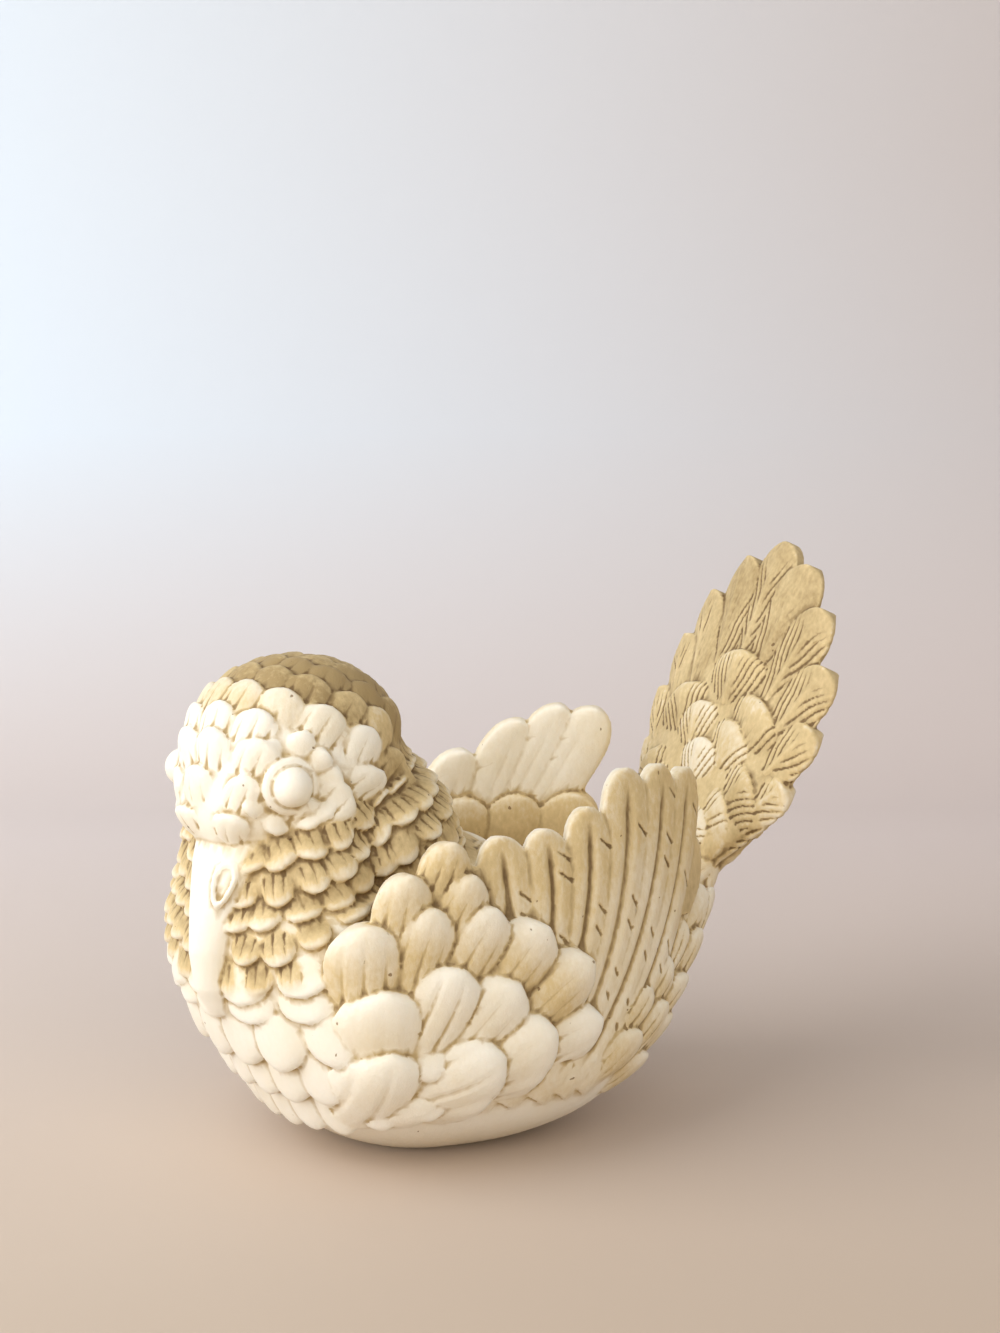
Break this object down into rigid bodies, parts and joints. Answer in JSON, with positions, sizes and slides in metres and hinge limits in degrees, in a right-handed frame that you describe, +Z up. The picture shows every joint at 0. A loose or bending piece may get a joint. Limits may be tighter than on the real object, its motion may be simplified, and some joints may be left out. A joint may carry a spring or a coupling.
{
  "type": "dove statue",
  "caption": "Carved stone dove with scalloped feathers, raised wings and a fanned upright tail, standing on its flat underside.",
  "frame": {"origin": "on the flat underside, below the middle of the body", "axes": "+Z up, -Y towards the breast and bill, +Y towards the tail, +X towards the bird's left wing"},
  "size_m": [0.0894, 0.1409, 0.1141],
  "materials": {
    "alabaster": null
  },
  "bodies": {
    "root": {"dove": "alabaster"}
  },
  "joints": []
}
